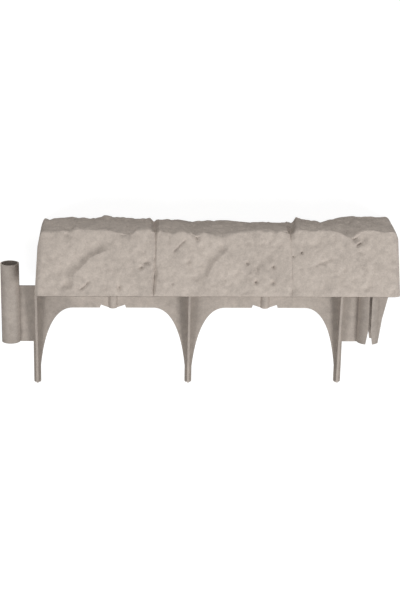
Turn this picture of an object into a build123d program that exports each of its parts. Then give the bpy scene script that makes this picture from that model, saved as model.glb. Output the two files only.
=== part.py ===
from build123d import *
import math
import os

# One section of moulded plastic garden edging: a hollow cap shaped like a row of three rough
# stones, on a web with three ground stakes, a round tube at one end and a split socket at the
# other. It is a single moulding, so it is one solid.
#
# It is drawn upright first, in millimetres: X runs along the edging, -Y is the front, +Z is up,
# and Z 0 is the ground line, where the cap's rim ends. The last step lays it on its back.

# Cap
cap_length = 300.0
cap_depth = 57.0
crown_height = 54.0
face_lean = 0.152
end_draft = 4.5
corner_round = 5.0
shoulder_round = 4.5
wall = 2.0

# How the crown rounds off at each end: how far in from the end it starts, and how far it drops
left_round_run = 5.5
left_round_drop = 23.0
right_round_run = 9.0
right_round_drop = 21.0

# Web and stakes
web_thickness = 2.0
web_below_ground = 18.8
stake_width = 5.8
stake_length = 85.3
flank_reach = 30.0
flank_drop = 52.0
fin_thickness = 1.8
fin_half_width_top = 11.0
fin_half_width_tip = 2.9
tip_round = 0.9

# Round post in the middle of each bay, and the notch on each side of it
post_radius = 3.4
notch_depth = 2.6
notch_reach = 10.9
notch_step = 0.9

# Tube outside the left end. Joined sections meet cap to cap, but for a small gap.
cap_gap = 0.4
tube_radius = 7.7
tube_wall = 1.2
tube_top = 19.5
connector_depth = 48.6
plate_thickness = 2.0

# Split socket inside the right end, which drops over the next section's tube
socket_inset = 21.2
socket_to_stake = 24.6
socket_clearance = 0.4
socket_wall = 1.2
socket_slot = 2.2
socket_roof = 6.0
slot_top = 3.0
lead_in_height = 12.0
lead_in_flare = 1.8
channel_half_width = 4.5
finger_reach_ground = 16.4
finger_reach_knee = 10.6
finger_knee_depth = 27.0
finger_reach_bottom = 8.0

half_length = cap_length / 2
draft_rate = math.tan(math.radians(end_draft)) / half_length
lean_angle = math.degrees(math.atan(face_lean))
above_cap = crown_height + 20.0
tube_offset = socket_inset + cap_gap
tube_x = -half_length - tube_offset
socket_x = half_length - socket_inset
last_stake_x = socket_x - socket_to_stake
stake_x = [-half_length, (last_stake_x - half_length) / 2, last_stake_x]
socket_inner_radius = tube_radius + socket_clearance
socket_radius = socket_inner_radius + socket_wall
post_x = [(a + b) / 2 for a, b in zip(stake_x, stake_x[1:])]

# Places along the cap are in percent of its half length, from -100 at the left end to 100.
# The skyline gives the rise above or below the crown height, and leaves out the two grooves.
skyline = [
    (-100, 0.2), (-93, 0.0), (-87, 0.2), (-82, 0.2), (-76, 0.0), (-71, -0.6), (-68, 0.6), (-64, 1.9),
    (-59, 1.2), (-54, 0.6), (-48, -0.3), (-43, -0.6), (-38, -0.9), (-30, -0.8), (-26, -0.9),
    (-21, -1.6), (-16, -3.0), (-10, -2.0), (-4, -2.0), (6, -2.2), (17, -3.3), (23, -2.9),
    (29, -2.7), (35, -3.2), (43, -0.6), (45.5, 0.5), (47.5, 0.1), (51, -1.9), (56, -2.5), (60, -2.2),
    (64, -0.4), (68, 0.7), (73, 1.8), (79, 2.3), (84, 1.6), (90, 1.6), (100, 1.6),
]
joint_places = [-34.2, 40.0]
joint_half_width = 2.4
joint_depth_face = 1.1
joint_depth_top = 3.2

# Chips knocked out of the surface: place along the cap, place across the face in millimetres
# (up from the ground line, or from the middle of the top), half length, half width, slope of
# the long way in degrees, and depth.
front_chips = [
    (-76.0, 29.0, 21.0, 9.0, 48.0, 2.2),
    (-40.5, 28.0, 7.0, 5.0, 25.0, 1.1),
    (-2.5, 34.0, 14.0, 7.0, 52.0, 2.5),
    (-13.5, 52.0, 8.0, 4.5, -45.0, 1.7),
    (70.0, 54.0, 17.0, 7.0, -36.0, 3.0),
    (24.0, 13.0, 16.0, 6.0, 8.0, 0.9),
]
back_chips = [
    (-80.0, 34.0, 20.0, 8.0, -40.0, 2.0),
    (-53.0, 14.0, 12.0, 7.0, 25.0, 1.4),
    (-9.0, 24.0, 22.0, 9.0, -55.0, 2.2),
    (25.0, 38.0, 12.0, 7.0, 35.0, 1.6),
    (70.0, 22.0, 20.0, 9.0, 45.0, 2.0),
]
top_chips = [
    (-84.0, -8.0, 16.0, 7.0, 8.0, 1.2),
    (-50.0, 6.0, 14.0, 8.0, -12.0, 1.3),
    (-12.0, -4.0, 16.0, 8.0, 15.0, 1.2),
    (24.0, 5.0, 16.0, 8.0, -8.0, 1.0),
    (64.0, -9.0, 8.0, 6.0, 0.0, 2.0),
    (84.0, 4.0, 14.0, 7.0, 18.0, 1.2),
]

# Where the cap's section is drawn along it, and the heights of its points up each face
end_shares = [0.0, 0.1, 0.28, 0.58, 1.0]
plain_places = [
    -90.5, -82.5, -75.0, -70.0, -66.5, -62.0, -54.5, -46.0, -40.0, -26.0, -20.5, -16.0, -10.0,
    -3.0, 4.0, 12.0, 20.0, 30.0, 46.0, 51.0, 56.0, 62.0, 67.0, 73.0, 80.0, 86.0,
]
face_shares = [0.2, 0.4, 0.6, 0.8, 1.0]
top_shares = [-0.4, 0.0, 0.4]
face_rim = 3.0
below_rim = 4.0


def between(table, place):
    """Value of a table of (place, value) at a place, by straight lines."""
    for (place0, value0), (place1, value1) in zip(table, table[1:]):
        if place <= place1:
            return value0 + (value1 - value0) * (place - place0) / (place1 - place0)
    return table[-1][1]


def chip_depth(chips, x, across):
    """Depth of the chips at a place on one face."""
    depth = 0.0
    for place, centre_across, length, width, slope, deep in chips:
        turn = math.radians(slope)
        dx, dy = x - place / 100 * half_length, across - centre_across
        u = (dx * math.cos(turn) + dy * math.sin(turn)) / length
        v = (dy * math.cos(turn) - dx * math.sin(turn)) / width
        depth = max(depth, deep * (1 - u * u - v * v))
    return depth


def joint_share(x):
    """1 in the middle of a groove between two stones, falling to 0 at its edges."""
    gaps = [abs(x - place / 100 * half_length) for place in joint_places]
    return max(0.0, 1 - min(gaps) / joint_half_width)


def corner_cut(x):
    """How far the vertical corners are rounded back at x."""
    into = max(0.0, abs(x) - (half_length - corner_round)) / corner_round
    return corner_round * (1 - math.sqrt(1 - min(into, 0.96) ** 2))


def end_drop(x):
    """How far the crown has dropped at x where it rounds off towards an end."""
    run, drop = (left_round_run, left_round_drop) if x < 0 else (right_round_run, right_round_drop)
    into = max(0.0, abs(x) - (half_length - run)) / run
    return drop * (1 - math.sqrt(1 - min(into, 0.96) ** 2))


def station_section(x, inset):
    """Closed section of the cap at x, drawn inset from the outer surface."""
    outer_x = math.copysign(min(abs(x) + inset, half_length), x)
    joint = joint_share(x)
    crown = crown_height + between(skyline, 100 * x / half_length) - end_drop(outer_x) - inset
    half = cap_depth / 2 - corner_cut(outer_x) - inset
    low = crown - shoulder_round
    sides = []
    for side, chips in ((-1, front_chips), (1, back_chips)):
        face = [(side * (half + face_lean * below_rim), -below_rim), (side * half, 0.0)]
        for share in face_shares:
            z = share * low
            cut = chip_depth(chips, x, z) + joint_depth_face * joint * min(1.0, z / face_rim)
            face.append((side * (half - face_lean * z - cut), z))
        bend = face[-1][0] - side * 0.35 * shoulder_round
        face.append((bend, crown - 0.3 * shoulder_round - joint_depth_top / 2 * joint))
        sides.append(face)
    flat = half - face_lean * crown - shoulder_round
    top = []
    for share in (-1.0, *top_shares, 1.0):
        y = share * flat
        top.append((y, crown - chip_depth(top_chips, x, y) - joint_depth_top * joint))
    outline = sides[0] + top + sides[1][::-1]
    corners = [(x * (1 - draft_rate * z), y, z) for y, z in outline]
    return make_face(Polyline(*corners, close=True))


def cap_block(inset):
    """The cap as a solid block between its end faces, cut flat at the ground line."""
    stations = [place / 100 * half_length for place in plain_places]
    for place in joint_places:
        middle = place / 100 * half_length
        stations += [middle - joint_half_width, middle, middle + joint_half_width]
    for share in end_shares:
        stations += [-half_length + share * left_round_run, half_length - share * right_round_run]
    end = half_length - inset
    places = [-end] + sorted(x for x in stations if abs(x) < end - 0.3) + [end]
    block = loft([station_section(x, inset) for x in places], ruled=True)
    return block - Pos(0, 0, -below_rim) * Box(2 * cap_length, 2 * cap_depth, 2 * below_rim)


def in_plane(face, thickness):
    """A face drawn in X and Z, made a plate centred on the web's plane."""
    return extrude(face, thickness / 2, both=True)


def upright_rectangle(x0, x1, z0, z1):
    """A rectangle in X and Z."""
    return make_face(Plane.XZ * Polyline((x0, z0), (x1, z0), (x1, z1), (x0, z1), close=True))


def stake_outline(x, left_flank, right_flank):
    """Outline of a stake in the web's plane: straight to the tip, or flared up into the web."""
    half = stake_width / 2
    tip = -stake_length
    ground = -web_below_ground
    edges = [Line((x - half + tip_round, tip), (x + half - tip_round, tip))]
    for side, flared in ((1, right_flank), (-1, left_flank)):
        foot = (x + side * half, tip + tip_round)
        knee = (x + side * half, ground - flank_drop)
        edges.append(Line((x + side * (half - tip_round), tip), foot))
        edges.append(Line(foot, knee))
        if flared:
            start = (x + side * flank_reach, ground)
            edges.append(
                Bezier(
                    knee,
                    (x + side * (half + 0.13 * flank_reach), ground - 0.3 * flank_drop),
                    (x + side * 0.57 * flank_reach, ground),
                    start,
                )
            )
            edges.append(Line(start, (x + side * flank_reach, 0)))
            edges.append(Line((x + side * flank_reach, 0), (x, 0)))
        else:
            edges.append(Line(knee, (x + side * half, 0)))
            edges.append(Line((x + side * half, 0), (x, 0)))
    return make_face(Plane.XZ * Wire(edges))


def notch(x, side):
    """The shallow cut in the web's lower edge beside a post."""
    ground = -web_below_ground
    return make_face(
        Plane.XZ
        * Polyline(
            (x + side * post_radius * 0.8, ground - 1.0),
            (x + side * post_radius * 0.8, ground),
            (x + side * (notch_reach - notch_step), ground + notch_depth),
            (x + side * notch_reach, ground),
            (x + side * notch_reach, ground - 1.0),
            close=True,
        )
    )


def web():
    """The long web under and inside the cap, with its stakes and the plates to both connectors."""
    band = upright_rectangle(stake_x[0], socket_x, -web_below_ground, above_cap)
    for number, x in enumerate(stake_x):
        band += stake_outline(x, number > 0, number < len(stake_x) - 1)
    for x in post_x:
        for side in (-1, 1):
            band -= notch(x, side)
    band += upright_rectangle(stake_x[-1], socket_x, -connector_depth, 0)
    band += upright_rectangle(socket_x, half_length, slot_top, above_cap)
    return in_plane(band, web_thickness)


def fin(x):
    """The cross fin of a stake: narrow at the tip, full width inside the cap."""
    half_cap = cap_depth / 2
    right_side = [
        (fin_half_width_tip, -stake_length),
        (fin_half_width_top, 0.0),
        (half_cap, 2 * wall),
        (half_cap, above_cap),
    ]
    left_side = [(-y, z) for y, z in reversed(right_side)]
    outline = make_face(Plane.YZ * Polyline(*right_side, *left_side, close=True))
    return Pos(x, 0, 0) * extrude(outline, fin_thickness / 2, both=True)


def post(x):
    """The round post under the crown in the middle of a bay."""
    height = above_cap + web_below_ground
    return Pos(x, 0, -web_below_ground) * Cylinder(
        post_radius, height, align=(Align.CENTER, Align.CENTER, Align.MIN)
    )


def tube():
    """The round tube at the left end, on its plate."""
    height = tube_top + connector_depth
    base = Pos(tube_x, 0, -connector_depth)
    standing = (Align.CENTER, Align.CENTER, Align.MIN)
    plate = in_plane(upright_rectangle(tube_x, stake_x[0], -connector_depth, 0), plate_thickness)
    body = plate + base * Cylinder(tube_radius, height, align=standing)
    return body - base * Cylinder(tube_radius - tube_wall, height, align=standing)


def socket_bore():
    """The space inside the socket, with the channel that the next section's plate slides into."""
    standing = (Align.CENTER, Align.CENTER, Align.MIN)
    bottom = -connector_depth
    depth = connector_depth + crown_height - socket_roof
    bore = Pos(socket_x, 0, bottom) * Cylinder(socket_inner_radius, depth, align=standing)
    channel = Pos(socket_x, 0, bottom) * Box(
        half_length - socket_x,
        2 * channel_half_width,
        connector_depth + slot_top,
        align=(Align.MIN, Align.CENTER, Align.MIN),
    )
    return bore + channel


def socket():
    """The split socket: a round sleeve with two lips that run to the end wall of the cap."""
    standing = (Align.CENTER, Align.CENTER, Align.MIN)
    bottom = -connector_depth
    sleeve = Pos(socket_x, 0, bottom) * Cylinder(
        socket_radius, connector_depth + above_cap, align=standing
    )
    lips = Pos(socket_x, 0, bottom) * Box(
        half_length - socket_x,
        2 * (channel_half_width + socket_wall),
        connector_depth + slot_top + wall,
        align=(Align.MIN, Align.CENTER, Align.MIN),
    )
    slot = make_face(
        Plane.XZ
        * Polyline(
            (socket_x - socket_slot / 2 - lead_in_flare, bottom),
            (socket_x - socket_slot / 2, bottom + lead_in_height),
            (socket_x - socket_slot / 2, slot_top),
            (socket_x + socket_slot / 2, slot_top),
            (socket_x + socket_slot / 2, bottom + lead_in_height),
            (socket_x + socket_slot / 2 + lead_in_flare, bottom),
            close=True,
        )
    )
    finger_cut = make_face(
        Plane.XZ
        * Polyline(
            (socket_x + finger_reach_bottom, bottom),
            (socket_x + finger_reach_knee, -finger_knee_depth),
            (socket_x + finger_reach_ground, 0),
            (half_length + tube_offset, 0),
            (half_length + tube_offset, bottom),
            close=True,
        )
    )
    body = sleeve + lips
    return body - in_plane(slot, cap_depth) - in_plane(finger_cut, cap_depth)


def edging_section():
    """The whole moulding, upright."""
    outside = cap_block(0.0)
    shell = outside - cap_block(wall)
    inside = web()
    for x in stake_x:
        inside += fin(x)
    for x in post_x:
        inside += post(x)
    inside = (inside + socket()) - socket_bore()
    under_ground = Pos(0, 0, -stake_length) * Box(2 * cap_length, 2 * cap_depth, 2 * stake_length)
    inside = inside & (outside + under_ground)
    return shell + inside + tube()


def laid_on_its_back(section):
    """The resting pose: flat back face on the floor, origin under the middle of the part."""
    lying = Rot(-(90.0 + lean_angle), 0, 0) * section
    box = lying.bounding_box(optimal=True)
    middle = box.center()
    return Pos(-middle.X, -middle.Y, -box.min.Z) * lying


section = laid_on_its_back(edging_section())
print("solids", len(section.solids()), "volume", round(section.volume), "valid", section.is_valid)
print("size", section.bounding_box(optimal=True).size)
os.makedirs("parts", exist_ok=True)
export_step(section, "parts/edging_section.step")
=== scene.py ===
import math

import bmesh
import bpy
import numpy as np
from mathutils import Matrix, Vector
from mathutils.bvhtree import BVHTree


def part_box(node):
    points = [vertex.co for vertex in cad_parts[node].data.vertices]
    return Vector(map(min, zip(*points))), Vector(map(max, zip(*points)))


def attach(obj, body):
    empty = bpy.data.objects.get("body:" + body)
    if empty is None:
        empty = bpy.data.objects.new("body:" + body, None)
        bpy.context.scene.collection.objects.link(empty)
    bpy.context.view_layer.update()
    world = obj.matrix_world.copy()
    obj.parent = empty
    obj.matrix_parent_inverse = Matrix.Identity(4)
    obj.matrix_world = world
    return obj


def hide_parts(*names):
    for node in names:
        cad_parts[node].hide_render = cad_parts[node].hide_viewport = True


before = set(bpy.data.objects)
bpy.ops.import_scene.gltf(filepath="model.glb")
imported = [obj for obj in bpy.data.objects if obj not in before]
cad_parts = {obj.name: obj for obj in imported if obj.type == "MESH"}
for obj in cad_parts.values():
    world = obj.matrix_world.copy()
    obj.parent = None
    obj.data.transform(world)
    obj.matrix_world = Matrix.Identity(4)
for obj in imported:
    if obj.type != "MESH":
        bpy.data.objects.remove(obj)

scene = bpy.context.scene
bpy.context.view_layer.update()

# How the section lies
# It rests on its back face, so its shapes are drawn standing up, in millimetres, and laid down:
# x along the edging, -y the front, z up from the ground line, where the cap's rim ends.
cap_length = 300.0
cap_depth = 57.0
face_lean = 0.152
stake_length = 85.3
stake_tip_half = 2.9
lean = math.atan(face_lean)
half_length = cap_length / 2
part_low, part_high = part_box("edging_section")
lying_x = part_high.x * 1000 - half_length
lying_y = part_low.y * 1000 + stake_tip_half * math.sin(lean) + stake_length * math.cos(lean)
lying_z = cap_depth / 2 * math.cos(lean)


def laid_down(upright):
    """Rows of upright millimetres as rows of lying metres."""
    x, y, z = np.asarray(upright, float).T
    lying = np.stack(
        [
            x + lying_x,
            z * math.cos(lean) - y * math.sin(lean) + lying_y,
            lying_z - y * math.cos(lean) - z * math.sin(lean),
        ],
        axis=1,
    )
    return lying / 1000


def stood_up(lying):
    """Rows of lying metres as rows of upright millimetres."""
    x, y, z = (np.asarray(lying, float) * 1000).T
    up, out = y - lying_y, lying_z - z
    return np.stack(
        [
            x - lying_x,
            out * math.cos(lean) - up * math.sin(lean),
            up * math.cos(lean) + out * math.sin(lean),
        ],
        axis=1,
    )


# Rock face of the cap
# The outside of the cap, in the same plastic wall as the rest. The mould gives it the look of
# three split stones, with ledges where flakes came away, pits, scratches and two grooves.
crown_height = 54.0
corner_round = 5.0
end_draft_degrees = 3.7
draft_rate = math.tan(math.radians(end_draft_degrees)) / half_length
# How the crown rounds off at each end: how far in from the end it starts, and how far it falls
left_round = (4.4, 20.0)
right_round = (5.5, 10.0)
round_limit = 0.96
# Heights above the edge level of the top's back edge and then of its front edge, by the place
# along the cap in percent of its half length, from -100 at the left end to 100
edge_level = crown_height - 0.3
skyline = [
    (-100, -0.4), (-93, -0.5), (-87, -0.1), (-82, 0.7), (-76, 0.2), (-71, -0.4), (-68, 1.6), (-64, 2.3),
    (-59, 1.3), (-54, 0.7), (-48, 0.0), (-43, -0.3), (-38, 0.2), (-30, -0.8), (-26, -0.6),
    (-21, -1.6), (-16, -3.0), (-10, -2.2), (-4, -1.7), (6, -1.8), (17, -3.6), (23, -3.2),
    (29, -2.5), (35, -2.4), (39, -3.2), (43, 0.0), (45.5, 1.8), (47.5, 1.4), (51, -0.7), (56, -1.8),
    (60, -2.4), (64, -1.0), (68, 0.7), (73, 1.8), (79, 2.9), (84, 2.1), (90, 2.2), (100, 2.2),
]
front_edge = [
    (-100, 0.0), (-93, -0.3), (-87, 0.0), (-83, -1.0), (-80, 2.0), (-77, 1.6), (-73, 2.1), (-67, 1.8),
    (-60, 1.5), (-56, -0.6), (-53, -1.9), (-50, -2.7), (-46, 0.5), (-43, 1.7), (-40, 2.0), (-37, 0.6),
    (-33, 0.8), (-30, 0.3), (-26, -0.9), (-23, -0.2), (-19, 0.6), (-16, -1.1), (-13, -3.4), (-9, -0.2),
    (-6, -0.6), (-3, -1.9), (1, -2.5), (4, -1.7), (7, -1.0), (11, 0.4), (17, 0.3), (21, 1.3), (28, 1.0),
    (31, -0.5), (34, 0.7), (38, 0.4), (41, 0.0), (44, 2.1), (51, 1.9), (54, 2.1), (60, 2.0), (64, 1.0),
    (68, -0.6), (71, -2.8), (73.5, -4.6), (75, -4.2), (77, -1.8), (80, 1.3), (83, 2.0), (88, 2.0), (91, 1.5),
    (95, 1.0), (100, 0.8),
]
shoulder_round = 2.6
face_rows = 66
shoulder_rows = 6
top_rows = 40
# The grooves between the stones: the place along the cap by the height up the front and by the
# depth over the top, and the half width and the depth by the height. The top takes the last two
# from where their tables end.
joint_table_end = 56.0
joints = [
    {
        "up the front": [(0, -53.5), (11, -52.6), (20, -52.0), (28, -52.4), (38, -51.6), (56, -51.6)],
        "over the top": [(-22, -51.6), (-13, -52.0), (5, -51.8), (20, -52.4)],
        "width": [(0, 1.1), (6, 1.8), (20, 2.6), (26, 1.6), (34, 1.0), (46, 1.0), (52, 2.2), (56, 3.2)],
        "depth": [(0, 1.0), (6, 2.0), (20, 2.8), (26, 1.6), (34, 1.1), (46, 1.2), (52, 2.6), (56, 4.2)],
    },
    {
        "up the front": [(0, 60.2), (14, 59.9), (28, 59.4), (38, 58.3), (56, 58.1)],
        "over the top": [(-27, 57.8), (-19, 58.4), (-7, 59.8), (2, 60.4), (20, 62.5)],
        "width": [(0, 1.2), (44, 1.2), (52, 2.4), (56, 3.6)],
        "depth": [(0, 0.5), (44, 0.6), (52, 2.8), (56, 4.6)],
    },
]
rng = np.random.default_rng(11)
lattice = 64


def rough(u, v, size, octaves=3):
    """Smooth random height between about -1 and 1, with lumps of that size."""
    total = np.zeros(np.broadcast(u, v).shape)
    strength = 1.0
    for _ in range(octaves):
        table = rng.uniform(-1, 1, (lattice, lattice))
        a, b = np.asarray(u) / size + 7.3, np.asarray(v) / size + 3.1
        i, j = np.floor(a).astype(int), np.floor(b).astype(int)
        fa, fb = a - i, b - j
        fa, fb = fa * fa * (3 - 2 * fa), fb * fb * (3 - 2 * fb)
        i0, i1 = i % lattice, (i + 1) % lattice
        j0, j1 = j % lattice, (j + 1) % lattice
        low = table[i0, j0] * (1 - fa) + table[i1, j0] * fa
        high = table[i0, j1] * (1 - fa) + table[i1, j1] * fa
        total += strength * (low * (1 - fb) + high * fb)
        strength *= 0.5
        size *= 0.5
    return total


def facets(u, v, size, slope):
    """Broken planes of about that size that meet in creases, as on split stone."""
    table = rng.uniform(-1, 1, (5, lattice, lattice))
    a, b = np.asarray(u) / size + 9.3, np.asarray(v) / size + 5.7
    i, j = np.floor(a).astype(int), np.floor(b).astype(int)
    lowest = np.full(np.broadcast(a, b).shape, 1e9)
    jitter, step, bow = 0.4, 0.5, 0.9
    for side in (-1, 0, 1):
        for rise in (-1, 0, 1):
            cell = table[:, (i + side) % lattice, (j + rise) % lattice]
            along = a - i - side - 0.5 - jitter * cell[0]
            over = b - j - rise - 0.5 - jitter * cell[1]
            plane = step * cell[2] + cell[3] * along + cell[4] * over + bow * (along**2 + over**2)
            lowest = np.minimum(lowest, plane)
    return slope * size * lowest


def beside(points, u, v):
    """Signed distance to a bent line, positive on its left, and how far along it from 0 to 1."""
    points = np.asarray(points, float)
    steps = np.linalg.norm(np.diff(points, axis=0), axis=1)
    along_start = np.concatenate([[0], np.cumsum(steps)])
    best = np.full(u.shape, 1e9)
    side = np.zeros(u.shape)
    along = np.zeros(u.shape)
    for n, ((u0, v0), (u1, v1)) in enumerate(zip(points, points[1:])):
        du, dv = u1 - u0, v1 - v0
        t = np.clip(((u - u0) * du + (v - v0) * dv) / (du * du + dv * dv), 0, 1)
        away = np.hypot(u - u0 - t * du, v - v0 - t * dv)
        nearer = away < best
        best = np.where(nearer, away, best)
        side = np.where(nearer, np.sign(du * (v - v0) - dv * (u - u0)), side)
        along = np.where(nearer, (along_start[n] + t * steps[n]) / along_start[-1], along)
    return best * side, along


def ledge(points, u, v, depth, fall, reach):
    """A flake came away to the left of the line: a crisp brink there, then a slope that eases out."""
    signed, along = beside(points, u, v)
    fade = np.clip(np.minimum(along, 1 - along) * 4, 0, 1)
    away = np.maximum(signed, 0)
    slope = 1 - (1 - np.clip(away / fall, 0, 1)) ** 2
    brink_share, brink_width = 0.2, 3.0
    brink = brink_share * depth * np.exp(np.minimum(signed, 0) / brink_width) * (signed < 0)
    return (depth * slope * np.exp(-((away / reach) ** 2)) - brink) * fade * fade * (3 - 2 * fade)


def within(cut, proud, deep):
    """Ease a cut so that it stays between that much proud and that much deep."""
    middle, half = (deep - proud) / 2, (deep + proud) / 2
    return middle + half * np.tanh((cut - middle) / half)


def scratch(points, u, v, depth, width):
    """A narrow groove along a line, fading at both ends."""
    signed, along = beside(points, u, v)
    return depth * np.exp(-((signed / width) ** 2)) * np.clip(np.minimum(along, 1 - along) * 5, 0, 1)


def pit(u, v, place, size, depth):
    """A small hollow."""
    return depth * np.exp(-(((u - place[0]) / size[0]) ** 2) - ((v - place[1]) / size[1]) ** 2)


def front_relief(x, z):
    """How far the front face is cut back at x and height z."""
    # Left stone
    cut = ledge(
        [(-119.5, 4), (-118.8, 9.3), (-118.1, 18), (-112.7, 23.5), (-104.6, 32.3), (-98.7, 35), (-84, 40.5)],
        x, z, 3.8, 8.0, 11.0,
    )
    cut += scratch([(-113.5, 4.6), (-112.7, 5.6), (-105.6, 12.1), (-104.6, 13)], x, z, 1.6, 1.0)
    cut += scratch([(-116.5, 10), (-114, 5)], x, z, 0.9, 1.4)
    cut += scratch([(-121, 12), (-130, 7)], x, z, 1.0, 1.8)
    cut += pit(x, z, (-110.5, 28.5), (4.0, 3.2), 1.0)
    cut += pit(x, z, (-63.4, 23.6), (2.2, 1.6), 2.8)
    cut += pit(x, z, (-59.8, 27.4), (2.8, 1.7), 2.8)
    cut += scratch([(-67, 28), (-61, 31), (-54.5, 26.5)], x, z, 0.9, 1.5)
    cut += pit(x, z, (-81.4, 8.0), (1.8, 4.5), 2.0)
    cut += pit(x, z, (-76.0, 51.0), (8.0, 4.0), 2.4)
    cut += pit(x, z, (-123.5, 51.0), (2.5, 3.0), 1.6)
    # Middle stone, with the pits of all three and its crumbly upper edge
    cut += ledge(
        [(-11.4, 9.0), (-10.1, 14.6), (-6.8, 23.7), (-3.1, 28.5), (6.6, 38.0), (12.0, 45.0)],
        x, z, 4.0, 9.0, 11.0,
    )
    cut += scratch([(-37.5, 36), (-35.9, 37.5), (-27.3, 46.1), (-26.0, 48)], x, z, 1.5, 0.8)
    cut += scratch([(-25.0, 56), (-22.9, 52.9), (-17.6, 46.9), (-16.0, 45)], x, z, 2.4, 1.8)
    cut += pit(x, z, (1.5, 52.0), (7.5, 3.2), 2.6)
    cut += pit(x, z, (-41.0, 48.0), (1.4, 4.0), 1.8)
    for place, size in [
        ((-24.2, 28.2), 1.5), ((-14.0, 25.2), 1.3), ((23.3, 27.2), 1.6), ((44.5, 24.7), 1.9),
        ((30.4, 12.1), 1.7), ((44.4, 11.4), 2.2), ((-37.6, 10.8), 1.6), ((113.2, 42.4), 1.2),
        ((115.5, 43.4), 1.0), ((-123.9, 10.6), 2.4), ((67.5, 36.0), 1.2), ((60.5, 33.0), 1.2),
    ]:
        cut += pit(x, z, place, (size, size), 2.4)
    cut -= pit(x, z, (12.5, 42.2), (1.3, 1.1), 0.9) + pit(x, z, (6.9, 17.7), (1.5, 1.2), 0.9)
    crumbly = np.clip((z - 38) / 5, 0, 1) * np.clip(1 - np.abs(x - 20) / 22, 0, 1)
    cut += 0.6 * crumbly * rough(x, z, 3.2, 2)
    # Right stone
    cut += ledge(
        [(88, 60), (96.4, 55.5), (101.8, 53.0), (106.0, 50.2), (110.3, 46.4), (113.5, 43.3), (119.0, 38.0)],
        x, z, 3.6, 5.0, 11.0,
    )
    cut += pit(x, z, (107.6, 52.0), (2.2, 1.6), 2.4)
    cut += pit(x, z, (110.5, 48.0), (1.7, 2.3), 2.6)
    cut += pit(x, z, (114.8, 43.2), (1.6, 1.0), 1.6)
    cut += scratch([(68, 21.5), (79.6, 26.2), (91.5, 30.9), (101, 32.4)], x, z, 1.0, 1.6)
    cut += scratch([(112.0, 37.6), (119.7, 35.2)], x, z, 1.2, 1.0)
    cut += scratch([(114.5, 28.5), (122.5, 21.2)], x, z, 1.0, 1.3)
    cut += scratch([(99.1, 20), (99.4, 2)], x, z, 1.0, 1.4)
    # Split planes and grit all over
    cut += facets(x, z, 19.0, 0.08) + facets(x, z, 7.0, 0.13) + 0.5 * rough(x, z, 4.0, 3)
    return within(cut, 0.9, 2.7)


def back_relief(x, z):
    """How far the back face is cut back at x and height z."""
    cut = ledge([(-88, 4), (-96, 22), (-112, 34), (-120, 52)], x, z, 2.8, 5.5, 10.0)
    cut += ledge([(-12, 4), (-8, 20), (4, 36), (20, 50)], x, z, 3.0, 6.0, 10.0)
    cut += ledge([(92, 6), (98, 24), (112, 38), (118, 52)], x, z, 2.8, 5.5, 10.0)
    cut += scratch([(-52, 20), (-40, 31)], x, z, 1.2, 0.9) + scratch([(38, 44), (46, 30)], x, z, 1.2, 0.9)
    cut += facets(x, z, 19.0, 0.07) + facets(x, z, 7.0, 0.09) + 0.3 * rough(x, z, 4.0, 2)
    return within(cut + 0.9, -0.02, 1.8)


def top_relief(x, y):
    """How far the top is cut down at x and depth y."""
    cut = ledge([(-60, -12), (-78, -5), (-100, -9), (-122, -20)], x, y, 1.4, 4.0, 9.0)
    cut += ledge([(134, -20), (124, -10), (111, -6), (101, -10), (95, -20)], x, y, 2.0, 4.0, 9.0)
    cut += scratch([(116, -1), (134, -9)], x, y, 1.4, 1.6)
    cut += pit(x, y, (93.8, -15.0), (2.4, 3.4), 3.4)
    cut += pit(x, y, (105.0, -28.0), (4.0, 6.0), 2.2)
    cut += pit(x, y, (-20.0, 8.0), (3.0, 9.0), 1.8)
    return within(cut + 0.3 + facets(x, y, 9.0, 0.26) + 0.9 * rough(x, y, 5.0, 3), 0.1, 1.9)


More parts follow.
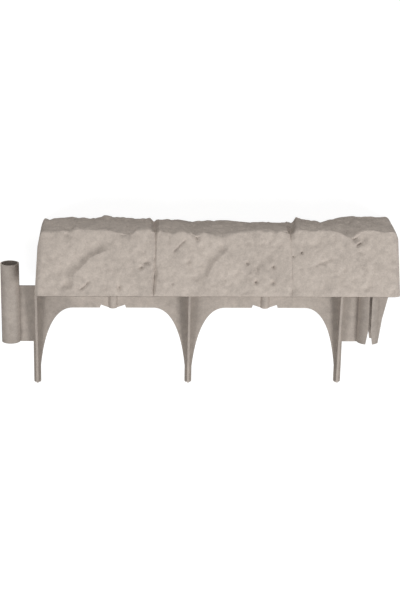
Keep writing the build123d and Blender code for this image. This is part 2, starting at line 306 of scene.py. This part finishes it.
def rock_skin():
    """Points of the cap's outside as a grid: along the cap, and from the front rim over the top."""
    # Columns crowd at both ends and at the grooves, and rows at the rim, to keep the edges crisp
    ends = half_length - np.array([0.0, 0.05, 0.2, 0.5, 0.9, 1.4, 2.0, 2.8, 3.7, 4.7])
    even_reach, even_columns = 144.5, 385
    x = np.concatenate([-ends, np.linspace(-even_reach, even_reach, even_columns), ends])
    groove_reach, groove_columns = 3.0, 16
    for middle in (-53.0, 60.6):
        x = np.concatenate([x, np.linspace(middle - groove_reach, middle + groove_reach, groove_columns)])
    x = np.unique(x)
    rim_shares = [0, 0.004, 0.009, 0.015]
    up = np.concatenate([rim_shares, np.linspace(0.022, 1, face_rows - len(rim_shares))])
    turn = np.linspace(0, 1, shoulder_rows + 2)[1:-1]
    over = np.linspace(-1, 1, top_rows)
    percent = 100 * x / half_length
    crown = edge_level + np.interp(percent, *zip(*skyline))
    front = edge_level + np.interp(percent, *zip(*front_edge))
    run = np.where(x < 0, left_round[0], right_round[0])
    drop = np.where(x < 0, left_round[1], right_round[1])
    into = np.clip((np.abs(x) - (half_length - run)) / run, 0, round_limit)
    fallen = drop * (1 - np.sqrt(1 - into**2))
    crown = crown - fallen
    front = front - fallen
    into = np.clip((np.abs(x) - (half_length - corner_round)) / corner_round, 0, round_limit)
    half = cap_depth / 2 - corner_round * (1 - np.sqrt(1 - into**2))
    flats = []
    sides = []
    for side, edge in ((-1, front), (1, crown)):
        low = edge - shoulder_round
        flat = half - face_lean * low - shoulder_round
        face = [(side * (half - face_lean * share * low), share * low, side, 0.0) for share in up]
        for share in turn:
            angle = share * math.pi / 2
            y = side * (flat + shoulder_round * math.cos(angle))
            z = low + shoulder_round * math.sin(angle)
            face.append((y, z, side * math.cos(angle), math.sin(angle)))
        sides.append(face)
        flats.append(flat)
    top = []
    front_bias = 1.5
    for share in over:
        y = np.where(share < 0, share * flats[0], share * flats[1])
        z = crown + (front - crown) * ((1 - share) / 2) ** front_bias
        top.append((y, z, 0.0, 1.0))
    grid = sides[0] + top + sides[1][::-1]
    y, z, out, lift = [np.array([np.broadcast_to(row[k], x.shape) for row in grid]) for k in range(4)]
    across = x * (1 - draft_rate * z)
    # The relief fades out towards the rim and the ends, so that nothing stands out past them
    rim_fade, end_fade = 3.4, 5.0
    calm = np.clip(z / rim_fade, 0, 1) * np.clip((half_length - np.abs(x)) / end_fade, 0, 1)
    cut = np.maximum(-out, 0) ** 2 * front_relief(across, z)
    cut += np.maximum(out, 0) ** 2 * back_relief(across, z)
    cut += np.maximum(lift, 0) ** 2 * top_relief(across, y)
    cut *= calm
    on_front, on_top = out < -0.7, lift > 0.5
    groove_fade = 1.5
    for joint in joints:
        front_line = np.interp(z, *zip(*joint["up the front"]))
        top_line = np.interp(y, *zip(*joint["over the top"]))
        line = np.where(on_front, front_line, top_line)
        shown = np.where(on_top, joint_table_end, z)
        width = np.interp(shown, *zip(*joint["width"]))
        depth = np.interp(shown, *zip(*joint["depth"]))
        beside_line = np.clip(1 - np.abs(across - line) / width, 0, 1)
        cut += depth * beside_line * np.clip(z / groove_fade, 0, 1)
    rim_tuck, tuck_height = 0.45, 0.7
    cut += rim_tuck * np.clip(1 - z / tuck_height, 0, 1) ** 2
    y = y - out * cut * math.cos(lean)
    z = z - lift * cut - np.abs(out) * cut * math.sin(lean)
    return across, y, z


def outside_faces(mesh):
    """Which faces of the CAD mesh belong to the cap's rock face: those near it that face outward."""
    centres = np.array([p.center for p in mesh.polygons])
    normals = np.array([p.normal for p in mesh.polygons])
    place = stood_up(centres)
    x, y, z = place.T
    nx, ny, nz = (stood_up(centres + normals / 1000) - place).T
    half = cap_depth / 2 - face_lean * z
    end = half_length * (1 - draft_rate * z)
    rim_gap, face_reach, end_reach, top_start = 0.02, 7.0, 1.2, 26.0
    outward, endward = 0.25, 0.5
    above = z > rim_gap
    faces = above & (np.abs(y) > half - face_reach) & (ny * np.sign(y) > outward)
    ends = above & (np.abs(x) > end - end_reach) & (nx * np.sign(x) > endward)
    tops = (z > top_start) & (nz > outward)
    return faces | ends | tops


# Moulding
# The one piece, of taupe plastic: the CAD's web, stakes, tube and socket with the rock face laid
# over the cap. Two end walls and a lip along the rim close the rock face onto the inner walls.
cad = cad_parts["edging_section"]
moulding = cad.data.copy()
taken = outside_faces(moulding)
work = bmesh.new()
work.from_mesh(moulding)
work.faces.ensure_lookup_table()
bmesh.ops.delete(work, geom=[work.faces[n] for n in np.flatnonzero(taken)], context="FACES")
px, py, pz = rock_skin()
rows, columns = px.shape

# Above the rim, the inner side of the wall moves in under deep relief to leave this much wall
least_wall = 1.0
above_rim = 1.0
search_reach = 4.0
skin_points = np.stack([px.ravel(), py.ravel(), pz.ravel()], axis=1).tolist()
skin_faces = [
    (n, n + 1, n + columns + 1, n + columns)
    for n in range((rows - 1) * columns)
    if (n + 1) % columns
]
skin = BVHTree.FromPolygons(skin_points, skin_faces)
for corner in work.verts:
    standing = Vector(stood_up([corner.co])[0])
    near, outward, _, _ = skin.find_nearest(standing, search_reach)
    if near and standing.z > above_rim and (standing - near).dot(outward) > -least_wall:
        corner.co = laid_down([near - outward * least_wall])[0]


def lay_grid(x, y, z, flip):
    """Add a grid of upright points to the moulding, facing one way or the other."""
    points = laid_down(np.stack([x.ravel(), y.ravel(), z.ravel()], axis=1))
    made = [work.verts.new(p) for p in points]
    wide = x.shape[1]
    for r in range(x.shape[0] - 1):
        for c in range(wide - 1):
            a, b = r * wide + c, (r + 1) * wide + c
            corners = [made[a], made[a + 1], made[b + 1], made[b]]
            work.faces.new(corners[::-1] if flip else corners)


lay_grid(px, py, pz, False)
walls = face_rows + shoulder_rows
for column, flip in ((0, True), (columns - 1, False)):
    across = np.linspace(0, 1, top_rows)
    front = [grid[:walls, column][:, None] for grid in (px, py, pz)]
    back = [grid[::-1][:walls, column][:, None] for grid in (px, py, pz)]
    top = [grid[walls : rows - walls, column][None, :] for grid in (px, py, pz)]
    lay_grid(*[np.vstack([f + (b - f) * across, t]) for f, b, t in zip(front, back, top)], flip)
end_points = 20
end_lip = 1.9
face_lip = 1.7
lip_level = -0.01
rim_x = np.concatenate([px[0], np.full(end_points, px[0, -1]), px[-1][::-1], np.full(end_points, px[0, 0])])
rim_y = np.concatenate([py[0], np.linspace(py[0, -1], py[-1, -1], end_points), py[-1][::-1]])
rim_y = np.concatenate([rim_y, np.linspace(py[-1, 0], py[0, 0], end_points)])
lip_x = np.stack([rim_x, rim_x * (1 - end_lip / half_length)])
lip_y = np.stack([rim_y, rim_y * (1 - 2 * face_lip / cap_depth)])
lay_grid(lip_x, lip_y, np.full(lip_x.shape, lip_level), True)
work.to_mesh(moulding)
work.free()
moulding.polygons.foreach_set("use_smooth", [True] * len(moulding.polygons))
crease_degrees = 38
moulding.set_sharp_from_angle(angle=math.radians(crease_degrees))
section = bpy.data.objects.new("edging_section_visual", moulding)
scene.collection.objects.link(section)
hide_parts("edging_section")
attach(section, "root")


class Value:
    """An output in a material's node tree. One that holds a number takes part in sums."""

    def __init__(self, tree, output):
        self.tree = tree
        self.output = output

    def node(self, kind, settings, **sockets):
        """Add a node of a kind, with its settings and the values of its sockets."""
        made = self.tree.nodes.new(kind)
        for name, value in settings.items():
            setattr(made, name, value)
        for name, value in sockets.items():
            key = int(name[1:]) if name[0] == "s" and name[1:].isdigit() else name.replace("_", " ")
            if isinstance(value, Value):
                self.tree.links.new(value.output, made.inputs[key])
            else:
                made.inputs[key].default_value = value
        return made

    def maths(self, operation, *others, clamp=False):
        """A maths node on this value and others."""
        sockets = {f"s{n}": value for n, value in enumerate((self, *others))}
        made = self.node("ShaderNodeMath", {"operation": operation, "use_clamp": clamp}, **sockets)
        return Value(self.tree, made.outputs[0])

    def __add__(self, other):
        return self.maths("ADD", other)

    def __sub__(self, other):
        return self.maths("SUBTRACT", other)

    def __mul__(self, other):
        return self.maths("MULTIPLY", other)

    def __rsub__(self, other):
        return self * -1 + other

    __radd__ = __add__
    __rmul__ = __mul__


plastic = bpy.data.materials.new("taupe_plastic")
plastic.use_nodes = True
tree = plastic.node_tree
shader = tree.nodes["Principled BSDF"]
place = Value(tree, tree.nodes.new("ShaderNodeTexCoord").outputs["Object"])
parts = place.node("ShaderNodeSeparateXYZ", {}, Vector=place)
side_x, side_y, side_z = [Value(tree, output) for output in parts.outputs]
along = side_x * 1000 - lying_x
height = side_y * (1000 * math.cos(lean)) - side_z * (1000 * math.sin(lean))
height = height + (lying_z * math.sin(lean) - lying_y * math.cos(lean))


def blotches(scale, detail):
    """Soft random spots between 0 and 1."""
    made = place.node("ShaderNodeTexNoise", {}, Vector=place, Scale=scale, Detail=detail, Roughness=0.6)
    return Value(tree, made.outputs[0])


# Painted shade: below the rim and on the tube the colour is darkened to stand in for the shade of the fins,
# tube and socket, most so at the ends and least in the arches
stake_spacing = 127.1
left_of_cap = -151.0
end_painted_shade = 0.77
web_painted_shade = 0.08
arch_painted_shade = 0.12
end_slope, end_start = -0.1, 12.5
arch_slope, arch_start = 0.07, 1.1
under = height.maths("LESS_THAN", 0.0).maths("MAXIMUM", along.maths("LESS_THAN", left_of_cap))
to_stake = (along + half_length).maths("PINGPONG", stake_spacing / 2)
away_from_ends = (along.maths("ABSOLUTE") * end_slope + end_start).maths("MULTIPLY", 1.0, clamp=True)
in_arch = (to_stake * arch_slope - arch_start).maths("MULTIPLY", 1.0, clamp=True)
painted_shade = (in_arch * arch_painted_shade + web_painted_shade) * away_from_ends + end_painted_shade
# Soft clouds across each stone, spots of a few millimetres, and a fine speckle
clouds = (blotches(35.0, 2.0) - 0.5) * 0.3
mottling = (blotches(190.0, 3.0) - 0.5) * 0.5
speckle = (blotches(900.0, 2.0) - 0.5) * 0.42
tone = clouds + mottling + speckle + 1.0
# Painted shade: the colour below the rim and on the tube is darkened here
tone = tone * (under * (painted_shade - 1.0) + 1.0)
red, green, blue = 0.48, 0.421, 0.372
colour = place.node("ShaderNodeCombineXYZ", {}, X=tone * red, Y=tone * green, Z=tone * blue)
tree.links.new(colour.outputs[0], shader.inputs["Base Color"])
dull = blotches(420.0, 2.0) * 0.3 + 0.45
tree.links.new(dull.output, shader.inputs["Roughness"])
grain_depth = 0.0003
grain = place.node("ShaderNodeBump", {}, Strength=0.4, Distance=grain_depth, Height=blotches(1300.0, 3.0))
tree.links.new(grain.outputs[0], shader.inputs["Normal"])
shader.inputs["Specular IOR Level"].default_value = 0.25
moulding.materials.clear()
moulding.materials.append(plastic)

# Floor
# A white sheet that runs past every view. It looks white, keeps a faint shadow, and throws back
# less light than it shows, so that the top of the cap stays darker than its face.
floor_reach = 30
corner_signs = [(-1, -1), (1, -1), (1, 1), (-1, 1)]
floor_corners = [(floor_reach * side, floor_reach * end, 0) for side, end in corner_signs]
floor_mesh = bpy.data.meshes.new("floor")
floor_mesh.from_pydata(floor_corners, [], [(0, 1, 2, 3)])
floor = bpy.data.objects.new("floor", floor_mesh)
scene.collection.objects.link(floor)
white = bpy.data.materials.new("white_floor")
white.use_nodes = True
sheet = white.node_tree
seen = sheet.nodes["Principled BSDF"]
seen.inputs["Base Color"].default_value = (0.2, 0.2, 0.2, 1)
seen.inputs["Roughness"].default_value = 1.0
seen.inputs["Specular IOR Level"].default_value = 0.0
seen.inputs["Emission Color"].default_value = (1, 1, 1, 1)
seen.inputs["Emission Strength"].default_value = 0.92
to_camera = Value(sheet, sheet.nodes.new("ShaderNodeLightPath").outputs["Is Camera Ray"])
bounced = to_camera.node("ShaderNodeBsdfDiffuse", {}, Color=(0.35, 0.35, 0.35, 1))
thrown_back, shown = Value(sheet, bounced.outputs[0]), Value(sheet, seen.outputs[0])
either = to_camera.node("ShaderNodeMixShader", {}, s0=to_camera, s1=thrown_back, s2=shown)
sheet.links.new(either.outputs[0], sheet.nodes["Material Output"].inputs["Surface"])
floor_mesh.materials.append(white)

# Camera
# It looks at the front of the upright section from a little above and to the left, and is rolled
# slightly, as the photographer levelled the cap's rim.
view_height = math.radians(18.5)
view_side = math.radians(-2.88)
view_roll = math.radians(1.047)
view_distance = 1300
aim = np.array([-13.75, 0.0, -12.25])
toward = np.array(
    [
        math.sin(view_side) * math.cos(view_height),
        -math.cos(view_side) * math.cos(view_height),
        math.sin(view_height),
    ]
)
spots = [aim + view_distance * toward, aim, aim + [0, 0, 100]]
spot, target, above = [Vector(p) for p in laid_down(spots)]
look = (target - spot).normalized()
level = look.cross(above - target).normalized()
upward = level.cross(look)
right = level * math.cos(view_roll) + upward * math.sin(view_roll)
up = upward * math.cos(view_roll) - level * math.sin(view_roll)
camera = bpy.data.objects.new("camera", bpy.data.cameras.new("camera"))
scene.collection.objects.link(camera)
camera.data.sensor_width = 36.0
camera.data.lens = 93.25
camera.data.clip_end = 50
turn = Matrix((right, up, -look)).transposed()
camera.matrix_world = Matrix.Translation(spot) @ turn.to_4x4()
scene.camera = camera

# Lights
# Two soft boxes in front of the section, off to its sides and a little below it, the right one
# stronger, with a weak one over its top and an even room.
box_height = 0.4
lit_point = (0, 0, 10)
room_strength = 0.25
for name, lamp_place, width, energy in [
    ("right_box", (880, -880, -560), 0.6, 13.0),
    ("left_box", (-880, -880, -560), 0.6, 8.4),
    ("top_light", (0, -300, 1300), 1.0, 8.0),
]:
    lamp = bpy.data.objects.new(name, bpy.data.lights.new(name, "AREA"))
    scene.collection.objects.link(lamp)
    lamp.data.shape = "RECTANGLE"
    lamp.data.size = width
    lamp.data.size_y = box_height
    lamp.data.energy = energy
    lamp.location, face_spot = [Vector(p) for p in laid_down([lamp_place, lit_point])]
    lamp.rotation_euler = (face_spot - lamp.location).to_track_quat("-Z", "Y").to_euler()
room = bpy.data.worlds.new("studio")
scene.world = room
room.use_nodes = True
room.node_tree.nodes["Background"].inputs["Color"].default_value = (1, 1, 1, 1)
room.node_tree.nodes["Background"].inputs["Strength"].default_value = room_strength
scene.view_settings.view_transform = "Standard"
